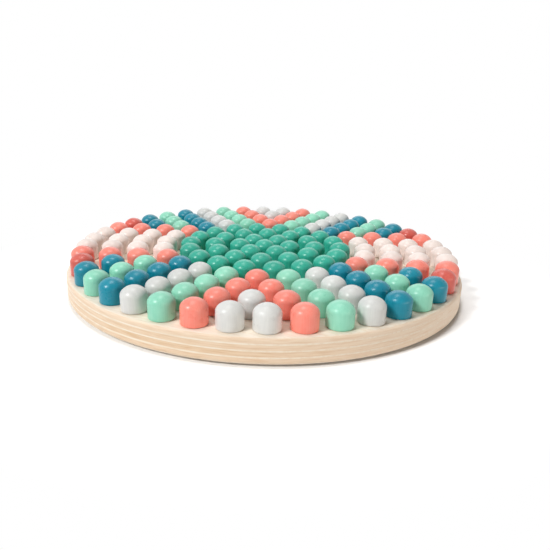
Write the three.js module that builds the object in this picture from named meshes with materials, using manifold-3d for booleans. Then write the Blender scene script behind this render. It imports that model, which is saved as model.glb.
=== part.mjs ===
// Mushroom peg mosaic: a round plywood board with blind holes in concentric rings, and a painted
// wooden peg with a domed cap and a short stem standing in every hole.
// Millimetres, +Z up. The origin is the middle of the board's underside, and the viewer's side is -Y.
import * as THREE from "three";
import { mergeVertices } from "three/addons/utils/BufferGeometryUtils.js";
import Module from "manifold-3d";

const wasm = await Module();
wasm.setup();

// Driving sizes of a peg
const CAP_DIAMETER = 16.5;
const CAP_WALL_HEIGHT = 9.3;
const CAP_DOME_HEIGHT = 6.2;
const STEM_DIAMETER = 8;

// Driving sizes of the board
const HOLE_DEPTH = 11;
const FLOOR_THICKNESS = 6;
const EDGE_RADIUS = 2.5;
const RIM_MARGIN = 3.25;

// Spaces between the pieces
const CAP_GAP = 3.5;
const SEAT_GAP = 0.3;
const STEM_CLEARANCE = 0.3;
const STEM_END_GAP = 0.7;

// Thin bars that hold the pegs of one group together, low down between their caps
const WEB_WIDTH = 2;
const WEB_HEIGHT = 1;
const WEB_LIFT = 0.5;

// How finely round shapes are divided
const PEG_SIDES = 8;
const BOARD_SIDES = 64;
const DOME_STEPS = 2;
const EDGE_STEPS = 2;
const MERGE_DISTANCE = 1e-4;

// Finishes
const FINISHES = {
  plywood: { color: 0xead9bf, roughness: 0.65 },
  green: { color: 0x2aa080, roughness: 0.35 },
  blush: { color: 0xf7e6de, roughness: 0.4 },
  coral: { color: 0xf57a6b, roughness: 0.35 },
  brick: { color: 0xc2544f, roughness: 0.35 },
  blue: { color: 0x1c7a96, roughness: 0.35 },
  mint: { color: 0x82d9b1, roughness: 0.35 },
  white: { color: 0xe6e5e1, roughness: 0.4 },
};

// The mosaic's colour groups. A peg is written as [ring, step]: ring 0 is the centre, ring k has six
// times k steps counted from the right-hand side (+X), and each peg stands next to the one before it.
const SIXTH_TURN = Math.PI / 3;
const GREEN_CENTER = { name: "green_peg_center", finish: "green", pegs: [[0, 0]] };
const GREEN_SECTORS = [0, 1, 2, 3, 4, 5].map((sector) => ({
  name: `green_pegs_sector_${sector + 1}`,
  finish: "green",
  pegs: [
    [1, sector],
    [2, 2 * sector],
    [2, 2 * sector + 1],
    [3, 3 * sector + 2],
    [3, 3 * sector + 1],
    [3, 3 * sector],
  ],
}));
const SIDE_GROUPS = [
  { name: "blush_pegs_inner", finish: "blush", pegs: [[4, -1], [4, 0], [4, 1], [5, 1], [5, 0], [5, -1]] },
  { name: "blush_pegs_outer", finish: "blush", pegs: [[6, -1], [6, 0], [6, 1], [7, 1], [7, 0], [7, -1]] },
];
const QUADRANT_GROUPS = [
  { name: "coral_pegs_spoke", finish: "coral", pegs: [[4, 2], [5, 2], [6, 2], [7, 2]] },
  { name: "brick_peg", finish: "brick", pegs: [[7, 3]] },
  { name: "blue_peg_inner", finish: "blue", pegs: [[6, 3]] },
  { name: "blue_peg_outer", finish: "blue", pegs: [[7, 4]] },
  { name: "mint_pegs_pair", finish: "mint", pegs: [[5, 3], [6, 4]] },
  { name: "mint_peg_outer", finish: "mint", pegs: [[7, 5]] },
  { name: "blue_pegs_spoke", finish: "blue", pegs: [[4, 3], [5, 4], [6, 5], [7, 6]] },
  { name: "white_pegs_spoke", finish: "white", pegs: [[4, 4], [5, 5], [6, 6], [7, 7]] },
  { name: "mint_pegs_spoke", finish: "mint", pegs: [[4, 5], [5, 6], [6, 7], [7, 8]] },
  { name: "coral_pegs_arm", finish: "coral", pegs: [[5, 7], [6, 8], [7, 9]] },
  { name: "white_peg_outer", finish: "white", pegs: [[7, 10]] },
];
const FRONT_AND_BACK_GROUPS = [
  { name: "coral_peg_tip", finish: "coral", pegs: [[4, 6]] },
  { name: "white_peg_inner", finish: "white", pegs: [[6, 9]] },
];

// The parts of the board that a group is repeated in, and which way it is mirrored there
const SIDES = [
  { name: "right", x: 1, y: -1 },
  { name: "left", x: -1, y: -1 },
];
const QUADRANTS = [
  { name: "front_right", x: 1, y: -1 },
  { name: "front_left", x: -1, y: -1 },
  { name: "back_right", x: 1, y: 1 },
  { name: "back_left", x: -1, y: 1 },
];
const FRONT_AND_BACK = [
  { name: "front", x: 1, y: -1 },
  { name: "back", x: 1, y: 1 },
];

// Sizes that follow from the driving ones
const CAP_RADIUS = CAP_DIAMETER / 2;
const STEM_RADIUS = STEM_DIAMETER / 2;
const STEM_LENGTH = HOLE_DEPTH + SEAT_GAP - STEM_END_GAP;
const HOLE_RADIUS = STEM_RADIUS + STEM_CLEARANCE;
const RING_PITCH = CAP_DIAMETER + CAP_GAP;
const OUTER_RING = Math.max(...QUADRANT_GROUPS.flatMap((group) => group.pegs.map(([ring]) => ring)));
const BOARD_RADIUS = OUTER_RING * RING_PITCH + CAP_RADIUS + RIM_MARGIN;
const BOARD_THICKNESS = FLOOR_THICKNESS + HOLE_DEPTH;

// Where a peg stands, in a part of the board
function pegPlace([ring, step], mirror) {
  const angle = ring === 0 ? 0 : (SIXTH_TURN * step) / ring;
  const radius = ring * RING_PITCH;
  return new THREE.Vector2(mirror.x * radius * Math.cos(angle), mirror.y * radius * Math.sin(angle));
}

function placed(name, group, mirror) {
  return { name, finish: group.finish, places: group.pegs.map((peg) => pegPlace(peg, mirror)) };
}

function repeated(groups, mirrors) {
  const copies = (group) => mirrors.map((mirror) => placed(`${group.name}_${mirror.name}`, group, mirror));
  return groups.flatMap(copies);
}

const PEG_GROUPS = [
  ...[GREEN_CENTER, ...GREEN_SECTORS].map((group) => placed(group.name, group, { x: 1, y: 1 })),
  ...repeated(SIDE_GROUPS, SIDES),
  ...repeated(QUADRANT_GROUPS, QUADRANTS),
  ...repeated(FRONT_AND_BACK_GROUPS, FRONT_AND_BACK),
];

// A closed geometry as a solid, its shared vertices merged and its empty triangles dropped
function toSolid(geometry) {
  geometry.deleteAttribute("normal");
  geometry.deleteAttribute("uv");
  const merged = mergeVertices(geometry, MERGE_DISTANCE);
  const corners = merged.index.array;
  const triangles = [];
  for (let i = 0; i < corners.length; i += 3) {
    const triangle = corners.slice(i, i + 3);
    if (new Set(triangle).size === 3) {
      triangles.push(...triangle);
    }
  }
  const vertProperties = merged.attributes.position.array;
  const triVerts = new Uint32Array(triangles);
  return new wasm.Manifold(new wasm.Mesh({ numProp: 3, vertProperties, triVerts }));
}

function toMesh(name, solid, finish) {
  const { vertProperties, triVerts } = solid.getMesh();
  const geometry = new THREE.BufferGeometry();
  geometry.setAttribute("position", new THREE.BufferAttribute(vertProperties, 3));
  geometry.setIndex(new THREE.BufferAttribute(triVerts, 1));
  geometry.computeVertexNormals();
  const material = new THREE.MeshStandardMaterial({ metalness: 0, ...FINISHES[finish] });
  const mesh = new THREE.Mesh(geometry, material);
  mesh.name = name;
  return mesh;
}

// A profile of [radius, height] points, from the bottom up, turned about the Z axis
function turned(profile, sides) {
  const points = profile.map(([radius, height]) => new THREE.Vector2(radius, height));
  return toSolid(new THREE.LatheGeometry(points, sides).rotateX(Math.PI / 2));
}

// Points of an ellipse's arc from one angle to another
function arc([x, y], [radiusX, radiusY], from, to, steps) {
  const points = [];
  for (let i = 0; i <= steps; i += 1) {
    const angle = from + ((to - from) * i) / steps;
    points.push([x + radiusX * Math.cos(angle), y + radiusY * Math.sin(angle)]);
  }
  return points;
}

// One peg, with the underside of its cap at height 0
function pegSolid() {
  const dome = arc([0, CAP_WALL_HEIGHT], [CAP_RADIUS, CAP_DOME_HEIGHT], 0, Math.PI / 2, DOME_STEPS);
  const stem = [[0, -STEM_LENGTH], [STEM_RADIUS, -STEM_LENGTH], [STEM_RADIUS, 0]];
  return turned([...stem, [CAP_RADIUS, 0], ...dome], PEG_SIDES);
}

// A web from the middle of one peg to the middle of the next
function webSolid(from, to) {
  const along = to.clone().sub(from);
  const web = new THREE.BoxGeometry(along.length(), WEB_WIDTH, WEB_HEIGHT);
  web.rotateZ(along.angle());
  web.translate((from.x + to.x) / 2, (from.y + to.y) / 2, WEB_LIFT + WEB_HEIGHT / 2);
  return toSolid(web);
}

// A group's pegs with a web from each to the next, measured from its first peg
function groupMesh({ name, finish, places }) {
  const [first] = places;
  const offsets = places.map((place) => place.clone().sub(first));
  let solid = pegSolid();
  for (let i = 1; i < offsets.length; i += 1) {
    const peg = pegSolid().translate([offsets[i].x, offsets[i].y, 0]);
    solid = solid.add(peg).add(webSolid(offsets[i - 1], offsets[i]));
  }
  const mesh = toMesh(name, solid, finish);
  mesh.position.set(first.x, first.y, 0);
  return mesh;
}

// The board: a disc with rounded edges and a blind hole under every peg
function boardMesh() {
  const edge = [EDGE_RADIUS, EDGE_RADIUS];
  const flatRadius = BOARD_RADIUS - EDGE_RADIUS;
  const lowerEdge = arc([flatRadius, EDGE_RADIUS], edge, -Math.PI / 2, 0, EDGE_STEPS);
  const upperEdge = arc([flatRadius, BOARD_THICKNESS - EDGE_RADIUS], edge, 0, Math.PI / 2, EDGE_STEPS);
  const capSeat = BOARD_THICKNESS + SEAT_GAP;
  const hole = [[0, FLOOR_THICKNESS], [HOLE_RADIUS, FLOOR_THICKNESS], [HOLE_RADIUS, capSeat], [0, capSeat]];
  let solid = turned([[0, 0], ...lowerEdge, ...upperEdge, [0, BOARD_THICKNESS]], BOARD_SIDES);
  for (const { x, y } of PEG_GROUPS.flatMap((group) => group.places)) {
    solid = solid.subtract(turned(hole, PEG_SIDES).translate([x, y, 0]));
  }
  return toMesh("board", solid, "plywood");
}

const pegs = new THREE.Group();
pegs.position.z = BOARD_THICKNESS + SEAT_GAP;
pegs.add(...PEG_GROUPS.map(groupMesh));

const mosaic = new THREE.Group();
mosaic.add(boardMesh(), pegs);

export default mosaic;
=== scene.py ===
"""The looks of the mushroom peg mosaic: turned, painted pegs on a round plywood board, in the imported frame.

Metres, +Z up. The origin is the middle of the board's underside, and the viewer's side is -Y.
"""
import math
import random

import bmesh
import bpy
from mathutils import Matrix, Vector


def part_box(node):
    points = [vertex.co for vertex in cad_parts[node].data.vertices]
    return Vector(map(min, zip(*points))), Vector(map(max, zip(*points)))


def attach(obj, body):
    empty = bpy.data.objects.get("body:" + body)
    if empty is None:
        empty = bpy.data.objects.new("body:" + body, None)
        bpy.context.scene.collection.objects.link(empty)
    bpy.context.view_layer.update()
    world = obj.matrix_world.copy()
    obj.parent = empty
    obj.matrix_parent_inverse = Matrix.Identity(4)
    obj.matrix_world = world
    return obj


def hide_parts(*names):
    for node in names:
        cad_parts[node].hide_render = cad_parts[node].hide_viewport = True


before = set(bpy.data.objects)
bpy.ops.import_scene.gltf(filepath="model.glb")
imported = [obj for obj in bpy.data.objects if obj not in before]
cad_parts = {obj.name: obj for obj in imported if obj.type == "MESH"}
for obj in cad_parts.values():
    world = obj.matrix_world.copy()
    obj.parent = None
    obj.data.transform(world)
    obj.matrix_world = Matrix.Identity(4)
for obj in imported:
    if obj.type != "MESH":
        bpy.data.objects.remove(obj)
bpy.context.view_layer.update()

MM = 0.001
QUARTER_TURN = math.pi / 2
SIXTH_TURN = math.pi / 3
WHOLE_TURN = 2 * math.pi

# Sizes that the frame gives
BOARD_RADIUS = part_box("board")[1].x
BOARD_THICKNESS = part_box("board")[1].z
PEG_LOW, PEG_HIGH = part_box("green_peg_center")
CAP_RADIUS = PEG_HIGH.x
OUTER_RING = 7
RIM_MARGIN = 3.25 * MM
RING_PITCH = (BOARD_RADIUS - RIM_MARGIN - CAP_RADIUS) / OUTER_RING

# A peg's turned form
CAP_SEAT = 0.3 * MM
CAP_HEIGHT = PEG_HIGH.z - BOARD_THICKNESS - CAP_SEAT
DOME_RADIUS = 9.6 * MM
SHOULDER_RADIUS = 4.4 * MM
CAP_LOWER_EDGE = 0.7 * MM
STEM_RADIUS = 4 * MM
STEM_LENGTH = BOARD_THICKNESS + CAP_SEAT - PEG_LOW.z
STEM_FILLET = 0.5 * MM
STEM_CHAMFER = 0.8 * MM
PEG_SIDES = 48
DOME_STEPS = 14
EDGE_STEPS = 4

# How a peg stands in its hole
PEG_LIFT = 0.1 * MM
PEG_OFFSET = 0.12 * MM
PEG_TILT = math.radians(0.35)
PEG_GROWTH = 0.006
RING_SEED = 100

# The board's form
UPPER_EDGE = 2.5 * MM
LOWER_EDGE = 2.8 * MM
HOLE_RADIUS = 4.3 * MM
HOLE_FLOOR = 6 * MM
HOLE_CHAMFER = 0.4 * MM
BOARD_SIDES = 288
HOLE_SIDES = 32
BOARD_EDGE_STEPS = 8
SHARP_ANGLE = math.radians(35)
NO_RADIUS = 1e-9

# The plywood: thick plies between thin ones. The thin ones' grain runs as the face's does.
THICK_PLIES = 4
THIN_PLY = 1.0 * MM
PLY_STEP = (BOARD_THICKNESS - THIN_PLY) / THICK_PLIES
PLY_RISE = 0.5 * MM
DARKEST_PLY = 1
GRAIN_ANGLE = math.radians(-22)

# The photograph's camera, as found from the outlines of the caps and the rim
CAMERA_AZIMUTH = math.radians(3.53)
CAMERA_ELEVATION = math.radians(18.25)
CAMERA_ROLL = math.radians(1.44)
CAMERA_PLACE = Vector((-2.046, 2.416, 426.44)) * MM
CAMERA_LENS = 33.895
CAMERA_SHIFT = 0.0247
SENSOR_WIDTH = 36

# Light and floor
LAMP_WHITE = (1.0, 1.0, 1.0)
KEY_PLACE = Vector((-1.49, -1.25, 1.71))
KEY_SIZE = (0.55, 0.55)
KEY_POWER = 48.5
FILL_PLACE = Vector((1.8, -1.5, 0.4))
FILL_SIZE = (2.4, 0.6)
FILL_POWER = 18.5
FILL_COLOUR = (1.0, 0.91, 0.81)
TOP_PLACE = Vector((-0.3, 0.3, 2.2))
TOP_SIZE = (0.9, 0.75)
TOP_POWER = 14.5
BACK_PLACE = Vector((0.0, 1.8, 1.3))
BACK_SIZE = (1.9, 0.9)
BACK_POWER = 9.0
SKY_STRENGTH = 0.02
FLOOR_DROP = 1.0 * MM
FLOOR_RADIUS = 6.0
FLOOR_SIDES = 64
# Painted light: an emission ring on the floor, seen only straight on and in gloss, that lightens the board's
# shadow just outside its edge
FLOOR_GLOW = 0.38
FLOOR_GLOW_REACH = (BOARD_RADIUS - 0.5 * MM, BOARD_RADIUS + 3.5 * MM)
FLOOR_WHITE_REACH = (0.185, 0.26)

# The mosaic's colour groups by node. A peg is written as (ring, step): ring 0 is the centre, and ring k
# has six times k steps counted from the right-hand side (+X).
MIDDLE_GROUPS = {"green_peg_center": [(0, 0)]}
for sector in range(6):
    MIDDLE_GROUPS[f"green_pegs_sector_{sector + 1}"] = [
        (1, sector),
        (2, 2 * sector),
        (2, 2 * sector + 1),
        (3, 3 * sector + 2),
        (3, 3 * sector + 1),
        (3, 3 * sector),
    ]
SIDE_GROUPS = {
    "blush_pegs_inner": [(4, -1), (4, 0), (4, 1), (5, 1), (5, 0), (5, -1)],
    "blush_pegs_outer": [(6, -1), (6, 0), (6, 1), (7, 1), (7, 0), (7, -1)],
}
QUADRANT_GROUPS = {
    "coral_pegs_spoke": [(4, 2), (5, 2), (6, 2), (7, 2)],
    "brick_peg": [(7, 3)],
    "blue_peg_inner": [(6, 3)],
    "blue_peg_outer": [(7, 4)],
    "mint_pegs_pair": [(5, 3), (6, 4)],
    "mint_peg_outer": [(7, 5)],
    "blue_pegs_spoke": [(4, 3), (5, 4), (6, 5), (7, 6)],
    "white_pegs_spoke": [(4, 4), (5, 5), (6, 6), (7, 7)],
    "mint_pegs_spoke": [(4, 5), (5, 6), (6, 7), (7, 8)],
    "coral_pegs_arm": [(5, 7), (6, 8), (7, 9)],
    "white_peg_outer": [(7, 10)],
}
FRONT_AND_BACK_GROUPS = {
    "coral_peg_tip": [(4, 6)],
    "white_peg_inner": [(6, 9)],
}
SIDES = {"right": (1, -1), "left": (-1, -1)}
QUADRANTS = {"front_right": (1, -1), "front_left": (-1, -1), "back_right": (1, 1), "back_left": (-1, 1)}
FRONT_AND_BACK = {"front": (1, -1), "back": (1, 1)}


def srgb(red, green, blue):
    """A colour written in screen values from 0 to 255, as the linear colour that a shader takes."""
    shares = [value / 255 for value in (red, green, blue)]
    return (*[s / 12.92 if s <= 0.04045 else ((s + 0.055) / 1.055) ** 2.4 for s in shares], 1.0)


WHITE = srgb(255, 255, 255)
FLOOR_PAPER = srgb(248, 248, 248)

# Paints: the full colour, and the paler one where the paint lies thin over the grain
PAINTS = {
    "green": (srgb(46, 171, 147), srgb(66, 184, 161)),
    "blush": (srgb(243, 227, 219), srgb(248, 236, 230)),
    "coral": (srgb(253, 137, 121), srgb(254, 154, 138)),
    "brick": (srgb(212, 94, 83), srgb(222, 109, 96)),
    "blue": (srgb(14, 133, 156), srgb(22, 143, 166)),
    "mint": (srgb(142, 217, 189), srgb(155, 224, 198)),
    "white": (srgb(216, 217, 215), srgb(224, 225, 222)),
}

# How the paint lies on a peg. Scales are per metre, and a share is of the way to the paler colour.
PAINT_GRAIN_STRETCH = (1.0, 1.0, 0.05)
PAINT_GRAIN_SCALE = 1500.0
PAINT_GRAIN_DETAIL = 3.0
PAINT_GRAIN_RANGE = (0.35, 0.7)
PAINT_GRAIN_SHARE = 0.55
PATCH_SCALE = 190.0
PATCH_DETAIL = 2.0
PATCH_RANGE = (0.3, 0.7)
PATCH_SHARE = 0.45
SATIN_RANGE = (0.25, 0.75)
SKIN_SCALE = 1300.0
SKIN_DETAIL = 1.0
VARIETY_SPREAD = 40.0
PAINT_TONES = (0.955, 1.045)
PAINT_ROUGHNESS = (0.26, 0.34)
PAINT_RELIEF = 0.05 * MM

# Plywood colours, and the darker streaks of each: the faces and thin plies, the thick plies along
# their fibres, and the thick plies where their ends are cut
FACE_GRAIN = srgb(242, 230, 214)
FACE_STREAK = srgb(235, 217, 195)
CROSS_GRAIN = srgb(243, 226, 206)
CROSS_STREAK = srgb(237, 212, 187)
END_GRAIN = srgb(233, 207, 176)
END_STREAK = srgb(219, 186, 148)

# How the plywood's grain runs. Scales are per metre.
WAVER_SCALE = 14.0
WAVER_DETAIL = 1.0
WAVER_RANGE = (0.2, 0.8)
WAVER = 0.15 * MM
PLY_BORDER = (0.4 * THIN_PLY, 0.6 * THIN_PLY)
FACE_STRETCH = (1 / 12, 1.0, 1.0)
FACE_SCALE = 620.0
LAYER_STRETCH = (1 / 16, 1 / 16, 1.0)
LAYER_SCALE = 1300.0
STREAK_DETAIL = 4.0
STREAK_RANGE = (0.35, 0.75)
THIN_END_SHARE = 0.7
PALING_PLIES = 2.0
PALEST_END_SHARE = 0.6
WOOD_ROUGHNESS = (0.55, 0.7)
WOOD_RELIEF = 0.06 * MM

# What the paints and the wood share
SPECULAR_LEVEL = 0.35
RELIEF_STRENGTH = 0.5
WHOLE = (0.0, 1.0)


# Node trees

def add(tree, kind, inputs=None, **settings):
    """Adds a node. Its inputs go by name or number: a socket is linked, and any other value is set."""
    node = tree.nodes.new(kind)
    for key, value in settings.items():
        setattr(node, key, value)
    for key, value in (inputs or {}).items():
        if isinstance(value, bpy.types.NodeSocket):
            tree.links.new(value, node.inputs[key])
        else:
            node.inputs[key].default_value = value
    return node


def maths(tree, operation, first, second=0.0):
    return add(tree, "ShaderNodeMath", {0: first, 1: second}, operation=operation).outputs[0]


def mixed(tree, factor, first, second):
    """A colour between two others."""
    return add(tree, "ShaderNodeMix", {0: factor, 6: first, 7: second}, data_type="RGBA").outputs[2]


def ranged(tree, value, before, after):
    """A value's range, as (low, high), eased into another one."""
    inputs = {"Value": value, 1: before[0], 2: before[1], 3: after[0], 4: after[1]}
    return add(tree, "ShaderNodeMapRange", inputs, interpolation_type="SMOOTHSTEP").outputs[0]


def noise(tree, coordinates, scale, detail, variety=None):
    """Noise of a scale per metre. A variety gives each peg its own part of it."""
    inputs = {"Vector": coordinates, "Scale": scale, "Detail": detail}
    if variety is None:
        return add(tree, "ShaderNodeTexNoise", inputs).outputs[0]
    return add(tree, "ShaderNodeTexNoise", {**inputs, "W": variety}, noise_dimensions="4D").outputs[0]


def stretched(tree, coordinates, turn, scale):
    """Coordinates turned about Z, so that the grain runs along X, and then drawn out."""
    turning = {"Vector": coordinates, "Angle": -turn}
    aligned = add(tree, "ShaderNodeVectorRotate", turning, rotation_type="Z_AXIS").outputs[0]
    return add(tree, "ShaderNodeVectorMath", {0: aligned, 1: scale}, operation="MULTIPLY").outputs[0]


def new_material(name):
    material = bpy.data.materials.new(name)
    material.use_nodes = True
    return material, material.node_tree, material.node_tree.nodes["Principled BSDF"]


def place_of(tree):
    return add(tree, "ShaderNodeTexCoord").outputs["Object"]


def seen_straight(tree):
    """1 for what the camera sees, by itself, in gloss or through glass, and 0 for soft light."""
    rays = add(tree, "ShaderNodeLightPath").outputs
    seen = maths(tree, "MAXIMUM", rays["Is Camera Ray"], rays["Is Glossy Ray"])
    return maths(tree, "MAXIMUM", seen, rays["Is Transmission Ray"])


def set_surface(tree, shader, colour, roughness, height, relief):
    """The sockets that the paints and the wood fill alike."""
    tree.links.new(colour, shader.inputs["Base Color"])
    tree.links.new(roughness, shader.inputs["Roughness"])
    shader.inputs["Specular IOR Level"].default_value = SPECULAR_LEVEL
    bump = add(tree, "ShaderNodeBump", {"Height": height, "Distance": relief, "Strength": RELIEF_STRENGTH})
    tree.links.new(bump.outputs[0], shader.inputs["Normal"])


# Materials

def paint_material(name, full, thin):
    """Satin paint all over a turned peg. The grain shows through it faintly."""
    material, tree, shader = new_material(f"paint_{name}")
    place = place_of(tree)
    variety = add(tree, "ShaderNodeAttribute", attribute_name="variety").outputs["Fac"]
    own_part = maths(tree, "MULTIPLY", variety, VARIETY_SPREAD)
    fibres = stretched(tree, place, 0.0, PAINT_GRAIN_STRETCH)
    grain = noise(tree, fibres, PAINT_GRAIN_SCALE, PAINT_GRAIN_DETAIL, own_part)
    patches = noise(tree, place, PATCH_SCALE, PATCH_DETAIL, own_part)
    skin = noise(tree, place, SKIN_SCALE, SKIN_DETAIL, own_part)
    thin_on_grain = ranged(tree, grain, PAINT_GRAIN_RANGE, (0.0, PAINT_GRAIN_SHARE))
    thin_in_patches = ranged(tree, patches, PATCH_RANGE, (0.0, PATCH_SHARE))
    painted = mixed(tree, maths(tree, "ADD", thin_on_grain, thin_in_patches), full, thin)
    tone = ranged(tree, variety, WHOLE, PAINT_TONES)
    toned = add(tree, "ShaderNodeHueSaturation", {"Color": painted, "Value": tone}).outputs[0]
    satin = ranged(tree, patches, SATIN_RANGE, PAINT_ROUGHNESS)
    set_surface(tree, shader, toned, satin, maths(tree, "ADD", grain, skin), PAINT_RELIEF)
    return material


def cut_ends(tree, turn):
    """How squarely a face cuts fibres that run at a turn from X."""
    fibre = (math.cos(turn), math.sin(turn), 0.0)
    normal = add(tree, "ShaderNodeNewGeometry").outputs["Normal"]
    product = add(tree, "ShaderNodeVectorMath", {0: normal, 1: fibre}, operation="DOT_PRODUCT")
    along = product.outputs["Value"]
    return maths(tree, "MULTIPLY", along, along)


def plywood_material():
    """Sanded birch plywood. The thick plies' grain runs across the face's and shows its cut ends."""
    material, tree, shader = new_material("birch_plywood")
    place = place_of(tree)
    height = add(tree, "ShaderNodeSeparateXYZ", {0: place}).outputs["Z"]
    waver = ranged(tree, noise(tree, place, WAVER_SCALE, WAVER_DETAIL), WAVER_RANGE, (-WAVER, WAVER))
    risen = maths(tree, "SUBTRACT", maths(tree, "ADD", height, waver), PLY_RISE)
    level = maths(tree, "MAXIMUM", risen, THIN_PLY / 2)
    from_thin = maths(tree, "PINGPONG", maths(tree, "SUBTRACT", level, THIN_PLY / 2), PLY_STEP / 2)
    thick = ranged(tree, from_thin, PLY_BORDER, WHOLE)

    face_streaks = noise(tree, stretched(tree, place, GRAIN_ANGLE, FACE_STRETCH), FACE_SCALE, STREAK_DETAIL)
    layers = noise(tree, stretched(tree, place, 0.0, LAYER_STRETCH), LAYER_SCALE, STREAK_DETAIL)
    figure = add(tree, "ShaderNodeMix", {0: thick, 2: face_streaks, 3: layers}).outputs[0]
    streaks = ranged(tree, figure, STREAK_RANGE, WHOLE)
    face_grain = mixed(tree, streaks, FACE_GRAIN, FACE_STREAK)
    cross_grain = mixed(tree, streaks, CROSS_GRAIN, CROSS_STREAK)
    end_grain = mixed(tree, streaks, END_GRAIN, END_STREAK)

    thin_ends = maths(tree, "MULTIPLY", cut_ends(tree, GRAIN_ANGLE), THIN_END_SHARE)
    thin_ply = mixed(tree, thin_ends, face_grain, cross_grain)
    ply = maths(tree, "FLOOR", maths(tree, "DIVIDE", level, PLY_STEP))
    from_darkest = maths(tree, "ABSOLUTE", maths(tree, "SUBTRACT", ply, DARKEST_PLY))
    darkness = ranged(tree, from_darkest, (0.0, PALING_PLIES), (1.0, PALEST_END_SHARE))
    thick_ends = maths(tree, "MULTIPLY", cut_ends(tree, GRAIN_ANGLE + QUARTER_TURN), darkness)
    thick_ply = mixed(tree, thick_ends, cross_grain, end_grain)

    wood = mixed(tree, thick, thin_ply, thick_ply)
    roughness = ranged(tree, streaks, WHOLE, WOOD_ROUGHNESS)
    set_surface(tree, shader, wood, roughness, streaks, WOOD_RELIEF)
    return material


def floor_material():
    """A white floor that keeps the object's shadow, with painted light glowing in a ring just outside the
    board that lightens that shadow, and runs out into plain white.
    """
    material, tree, shader = new_material("studio_floor")
    tree.nodes.remove(shader)
    seen = seen_straight(tree)
    away = add(tree, "ShaderNodeVectorMath", {0: place_of(tree)}, operation="LENGTH").outputs["Value"]
    far = maths(tree, "MULTIPLY", seen, ranged(tree, away, FLOOR_WHITE_REACH, WHOLE))
    # Painted light: a glow that lightens the floor's shade in a ring just outside the board
    painted_glow_strength = maths(tree, "MULTIPLY", seen, ranged(tree, away, FLOOR_GLOW_REACH, (0.0, FLOOR_GLOW)))
    paper = add(tree, "ShaderNodeBsdfDiffuse", {"Color": FLOOR_PAPER}).outputs[0]
    glow = add(tree, "ShaderNodeEmission", {"Strength": painted_glow_strength}).outputs[0]
    lit = add(tree, "ShaderNodeAddShader", {0: paper, 1: glow}).outputs[0]
    white = add(tree, "ShaderNodeEmission", {"Strength": 1.0}).outputs[0]
    surface = add(tree, "ShaderNodeMixShader", {0: far, 1: lit, 2: white}).outputs[0]
    tree.links.new(surface, tree.nodes["Material Output"].inputs["Surface"])
    return material


# Meshes

def arc(middle, radius, start, stop, steps):
    """Points of a round arc as (radius, height), from one angle to another."""
    angles = [start + (stop - start) * step / steps for step in range(steps + 1)]
    return [(middle[0] + radius * math.cos(a), middle[1] + radius * math.sin(a)) for a in angles]


def ring_of(bm, radius, height, sides, middle=(0.0, 0.0)):
    """A ring of vertices about a middle, or one vertex where the radius is nothing."""
    if radius < NO_RADIUS:
        return [bm.verts.new((*middle, height))]
    around = arc(middle, radius, 0.0, WHOLE_TURN, sides)[:-1]
    return [bm.verts.new((x, y, height)) for x, y in around]


def join_rings(bm, low, high, sides):
    """A band of faces between two rings, facing out where the second is the higher one."""
    for side in range(sides):
        after = (side + 1) % sides
        low_side = [low[side % len(low)], low[after % len(low)]]
        high_side = [high[after % len(high)], high[side % len(high)]]
        bm.faces.new(list(dict.fromkeys(low_side + high_side)))


def finished_mesh(bm, name):
    mesh = bpy.data.meshes.new(name)
    bm.to_mesh(mesh)
    bm.free()
    mesh.shade_smooth()
    mesh.set_sharp_from_angle(angle=SHARP_ANGLE)
    return mesh


def peg_mesh():
    """One peg: a cap with a domed top on a stem, the underside of the cap at height 0."""
    dome = (0.0, CAP_HEIGHT - DOME_RADIUS)
    inset = CAP_RADIUS - SHOULDER_RADIUS
    rise = math.sqrt((DOME_RADIUS - SHOULDER_RADIUS) ** 2 - inset**2)
    shoulder = (inset, dome[1] + rise)
    turn = math.atan2(rise, inset)
    fillet = (STEM_RADIUS + STEM_FILLET, -STEM_FILLET)
    lower_edge = (CAP_RADIUS - CAP_LOWER_EDGE, CAP_LOWER_EDGE)
    profile = [
        (0.0, -STEM_LENGTH),
        (STEM_RADIUS - STEM_CHAMFER, -STEM_LENGTH),
        (STEM_RADIUS, -STEM_LENGTH + STEM_CHAMFER),
        *arc(fillet, STEM_FILLET, 2 * QUARTER_TURN, QUARTER_TURN, EDGE_STEPS),
        *arc(lower_edge, CAP_LOWER_EDGE, -QUARTER_TURN, 0.0, EDGE_STEPS),
        *arc(shoulder, SHOULDER_RADIUS, 0.0, turn, EDGE_STEPS),
        *arc(dome, DOME_RADIUS, turn, QUARTER_TURN, DOME_STEPS)[1:],
    ]
    bm = bmesh.new()
    rings = [ring_of(bm, radius, height, PEG_SIDES) for radius, height in profile]
    for low, high in zip(rings, rings[1:]):
        join_rings(bm, low, high, PEG_SIDES)
    return finished_mesh(bm, "peg")


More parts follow.
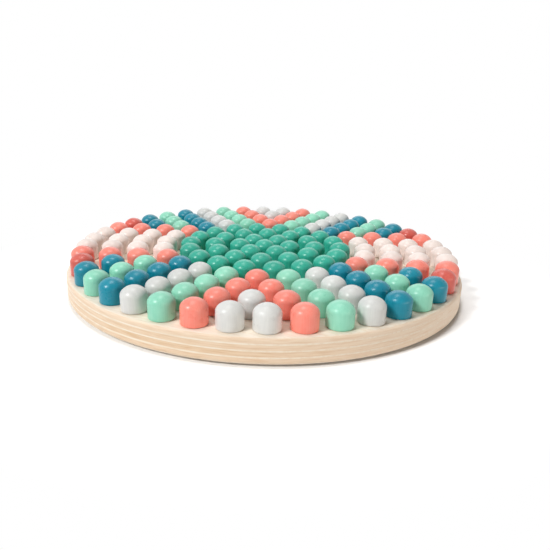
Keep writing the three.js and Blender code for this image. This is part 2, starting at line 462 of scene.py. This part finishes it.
def board_mesh(places):
    """The board: a disc with rounded edges and a blind hole, chamfered at its mouth, at every place."""
    lower = (BOARD_RADIUS - LOWER_EDGE, LOWER_EDGE)
    upper = (BOARD_RADIUS - UPPER_EDGE, BOARD_THICKNESS - UPPER_EDGE)
    profile = [
        *arc(lower, LOWER_EDGE, -QUARTER_TURN, 0.0, BOARD_EDGE_STEPS),
        *arc(upper, UPPER_EDGE, 0.0, QUARTER_TURN, BOARD_EDGE_STEPS),
    ]
    bm = bmesh.new()
    rings = [ring_of(bm, radius, height, BOARD_SIDES) for radius, height in profile]
    for low, high in zip(rings, rings[1:]):
        join_rings(bm, low, high, BOARD_SIDES)
    bm.faces.new(reversed(rings[0]))
    loops = [rings[-1]]
    for place in places:
        hole = [
            ring_of(bm, HOLE_RADIUS, HOLE_FLOOR, HOLE_SIDES, place),
            ring_of(bm, HOLE_RADIUS, BOARD_THICKNESS - HOLE_CHAMFER, HOLE_SIDES, place),
            ring_of(bm, HOLE_RADIUS + HOLE_CHAMFER, BOARD_THICKNESS, HOLE_SIDES, place),
        ]
        bm.faces.new(hole[0])
        for low, high in zip(hole, hole[1:]):
            join_rings(bm, high, low, HOLE_SIDES)
        loops.append(hole[-1])
    edges = [bm.edges.get((loop[i - 1], loop[i])) for loop in loops for i in range(len(loop))]
    bmesh.ops.triangle_fill(bm, edges=edges, use_beauty=True, normal=(0.0, 0.0, 1.0))
    return finished_mesh(bm, "board")


# Pieces

def peg_place(peg, mirror):
    """Where a peg stands, in a part of the board."""
    ring, step = peg
    angle = SIXTH_TURN * step / max(ring, 1)
    radius = ring * RING_PITCH
    return Vector((mirror[0] * radius * math.cos(angle), mirror[1] * radius * math.sin(angle)))


def step_of(ring, place):
    """The step that a place has in its ring, counted from the right-hand side (+X) without mirrors."""
    return round(math.atan2(place.y, place.x) * ring / SIXTH_TURN) % max(6 * ring, 1)


def peg_groups():
    """Each node's pegs as (node, [(ring, place)])."""
    groups = [(node, pegs, (1, 1)) for node, pegs in MIDDLE_GROUPS.items()]
    for repeated, parts in (
        (SIDE_GROUPS, SIDES),
        (QUADRANT_GROUPS, QUADRANTS),
        (FRONT_AND_BACK_GROUPS, FRONT_AND_BACK),
    ):
        for name, pegs in repeated.items():
            groups += [(f"{name}_{part}", pegs, mirror) for part, mirror in parts.items()]
    return [(node, [(peg[0], peg_place(peg, mirror)) for peg in pegs]) for node, pegs, mirror in groups]


def add_object(name, mesh, material):
    mesh.materials.append(material)
    piece = bpy.data.objects.new(name, mesh)
    bpy.context.scene.collection.objects.link(piece)
    return piece


def add_peg(template, name, place, material, chance):
    """A peg of its own, turned, leaning and set in its hole a little differently from its neighbours."""
    mesh = template.copy()
    mesh.name = name
    mesh.transform(Matrix.Scale(1 + chance.uniform(-PEG_GROWTH, PEG_GROWTH), 4))
    variety = mesh.attributes.new("variety", "FLOAT", "POINT")
    variety.data.foreach_set("value", [chance.random()] * len(mesh.vertices))
    peg = add_object(name, mesh, material)
    off_middle = Matrix.Rotation(chance.uniform(0, WHOLE_TURN), 3, "Z") @ Vector((PEG_OFFSET, 0.0, 0.0))
    lean = Matrix.Rotation(chance.uniform(-PEG_TILT, PEG_TILT), 4, "X")
    turn = Matrix.Rotation(chance.uniform(0, WHOLE_TURN), 4, "Z")
    seat = Vector((place.x, place.y, BOARD_THICKNESS + PEG_LIFT))
    peg.matrix_world = Matrix.Translation(seat + off_middle * chance.random()) @ turn @ lean
    return peg


def add_pegs(groups):
    template = peg_mesh()
    paints = {name: paint_material(name, *colours) for name, colours in PAINTS.items()}
    for node, pegs in groups:
        colour = node.split("_")[0]
        for ring, place in pegs:
            step = step_of(ring, place)
            name = f"{colour}_peg_ring_{ring}_{step + 1}"
            chance = random.Random(RING_SEED * ring + step)
            peg = add_peg(template, name, place, paints[colour], chance)
            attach(peg, node)
            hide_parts(node)


def add_board(groups):
    places = [place for _, pegs in groups for _, place in pegs]
    board = add_object("plywood_board", board_mesh(places), plywood_material())
    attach(board, "board")
    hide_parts("board")


# Stage

def add_floor():
    bm = bmesh.new()
    bmesh.ops.create_circle(bm, cap_ends=True, segments=FLOOR_SIDES, radius=FLOOR_RADIUS)
    floor = add_object("floor", finished_mesh(bm, "floor"), floor_material())
    floor.location.z = -FLOOR_DROP


def add_light(name, place, size, power, colour=LAMP_WHITE):
    """A softbox that faces the middle of the board."""
    light = bpy.data.lights.new(name, "AREA")
    light.shape = "RECTANGLE"
    light.size, light.size_y = size
    light.energy = power
    light.color = colour
    softbox = bpy.data.objects.new(name, light)
    softbox.matrix_world = Matrix.Translation(place) @ place.to_track_quat("Z", "Y").to_matrix().to_4x4()
    bpy.context.scene.collection.objects.link(softbox)


def set_world():
    """Soft light from all round, and plain white behind the object and in its gloss."""
    world = bpy.data.worlds.new("studio")
    world.use_nodes = True
    tree = world.node_tree
    soft = add(tree, "ShaderNodeBackground", {"Color": WHITE, "Strength": SKY_STRENGTH}).outputs[0]
    white = add(tree, "ShaderNodeBackground", {"Color": WHITE, "Strength": 1.0}).outputs[0]
    surface = add(tree, "ShaderNodeMixShader", {0: seen_straight(tree), 1: soft, 2: white}).outputs[0]
    tree.links.new(surface, tree.nodes["World Output"].inputs["Surface"])
    bpy.context.scene.world = world


def add_camera():
    data = bpy.data.cameras.new("camera")
    data.lens = CAMERA_LENS
    data.sensor_width = SENSOR_WIDTH
    data.shift_x = CAMERA_SHIFT
    camera = bpy.data.objects.new("camera", data)
    bpy.context.scene.collection.objects.link(camera)
    turn = Matrix.Rotation(CAMERA_AZIMUTH, 4, "Z")
    tilt = Matrix.Rotation(QUARTER_TURN - CAMERA_ELEVATION, 4, "X")
    roll = Matrix.Rotation(CAMERA_ROLL, 4, "Z")
    camera.matrix_world = turn @ tilt @ roll @ Matrix.Translation(CAMERA_PLACE)
    bpy.context.scene.camera = camera


def main():
    add_camera()
    add_floor()
    add_light("key_light", KEY_PLACE, KEY_SIZE, KEY_POWER)
    add_light("fill_light", FILL_PLACE, FILL_SIZE, FILL_POWER, FILL_COLOUR)
    add_light("top_light", TOP_PLACE, TOP_SIZE, TOP_POWER)
    add_light("back_light", BACK_PLACE, BACK_SIZE, BACK_POWER)
    set_world()
    groups = peg_groups()
    add_board(groups)
    add_pegs(groups)
    bpy.context.scene.view_settings.view_transform = "Standard"


main()
